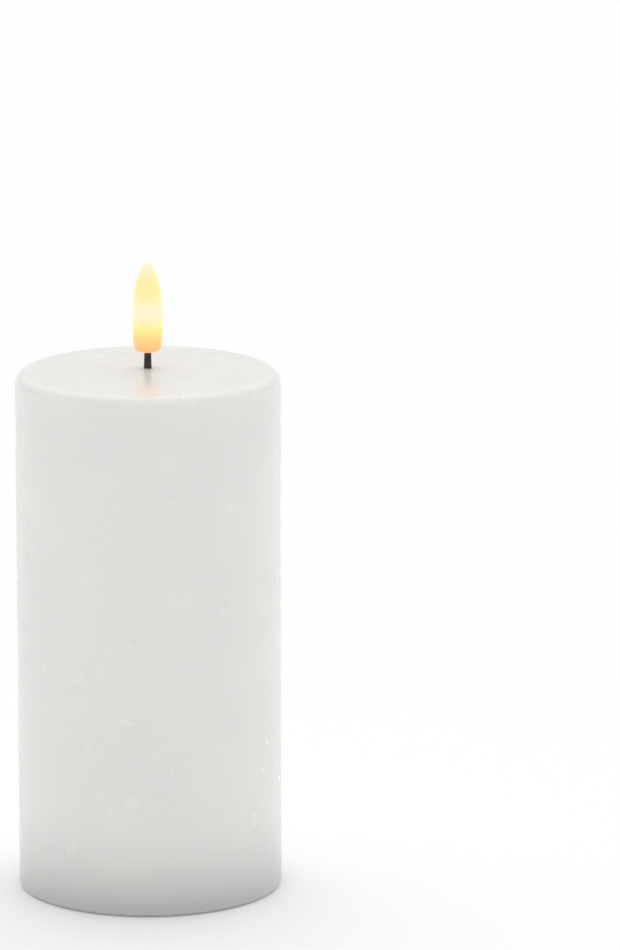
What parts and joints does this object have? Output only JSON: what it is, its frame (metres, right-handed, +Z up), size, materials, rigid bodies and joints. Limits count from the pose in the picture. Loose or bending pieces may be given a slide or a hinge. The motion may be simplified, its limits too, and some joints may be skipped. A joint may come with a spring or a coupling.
{
  "type": "flameless led candle",
  "caption": "Wax pillar candle with a glowing plastic flame on a short dark wick; a battery door and a slide switch are in its base.",
  "frame": {"origin": "centre of the wax foot ring that the candle stands on", "axes": "+Z up along the candle's axis, +X towards the battery door's hinge, -Y towards the slide switch"},
  "size_m": [0.075, 0.075, 0.181],
  "materials": {
    "wax": "cast paraffin wax, smooth and satin",
    "flame": "frosted translucent moulding, lit from inside",
    "wick": "dark brown-black tube with a braided look",
    "abs_white": "injection-moulded, fine spark texture",
    "knob": "moulded, dark grey, ribbed",
    "lever": "moulded acetal",
    "zinc_screw": "zinc-plated",
    "nickel": "nickel-plated spring steel",
    "cell_can": "nickel-plated steel can, satin",
    "cell_label": "plain printed shrink sleeve, glossy",
    "circuit_board": "glass-epoxy board under solder mask",
    "lamp_board": "white solder mask",
    "lamp_chip": "phosphor under a clear dome, lit",
    "lead_red": "insulation, satin",
    "lead_black": "insulation, satin",
    "chip": "moulded epoxy",
    "solder": "tin solder, bright",
    "phenolic": "pressed phenolic sheet",
    "capacitor_sleeve": "shrink sleeve",
    "hot_melt": "hot-melt adhesive, translucent",
    "foam": "closed-cell foam strip"
  },
  "bodies": {
    "candle": {"wax_shell": "wax", "flame_diffuser": "flame", "flame_plug": "abs_white", "flame_board": "lamp_board", "flame_leds": "lamp_chip", "wick_sleeve": "wick", "wick_bush": "abs_white", "flame_lead_red": "lead_red", "flame_lead_black": "lead_black", "base_housing": "abs_white", "adhesive_band": "hot_melt", "cover_plate": "abs_white", "cover_screws": "zinc_screw", "control_board": "circuit_board", "board_screws": "zinc_screw", "timer_chip": "chip", "chip_leads": "nickel", "timer_crystal": "nickel", "chip_resistors": "chip", "smoothing_capacitor": "capacitor_sleeve", "solder_joints": "solder", "switch_can": "nickel", "switch_base": "phenolic", "switch_pins": "nickel", "cell_a": "cell_can", "cell_b": "cell_can", "cell_sleeve_a": "cell_label", "cell_sleeve_b": "cell_label", "positive_contact": "nickel", "negative_contact": "nickel", "negative_spring": "nickel", "bridge_contact": "nickel", "bridge_spring": "nickel", "battery_lead_red": "lead_red", "battery_lead_black": "lead_black"},
    "door": {"battery_door": "abs_white", "door_foam": "foam"},
    "switch": {"switch_knob": "knob", "switch_actuator": "lever"}
  },
  "joints": [
    {"name": "battery_door_hinge", "type": "hinge", "parent": "candle", "child": "door", "pos_m": [0.0264, 0, 0.0036], "axis": [0, -1, 0], "range_deg": [0, 95]},
    {"name": "power_switch_slide", "type": "slide", "parent": "candle", "child": "switch", "axis": [1, 0, 0], "range_m": [-0.002, 0.002]}
  ]
}
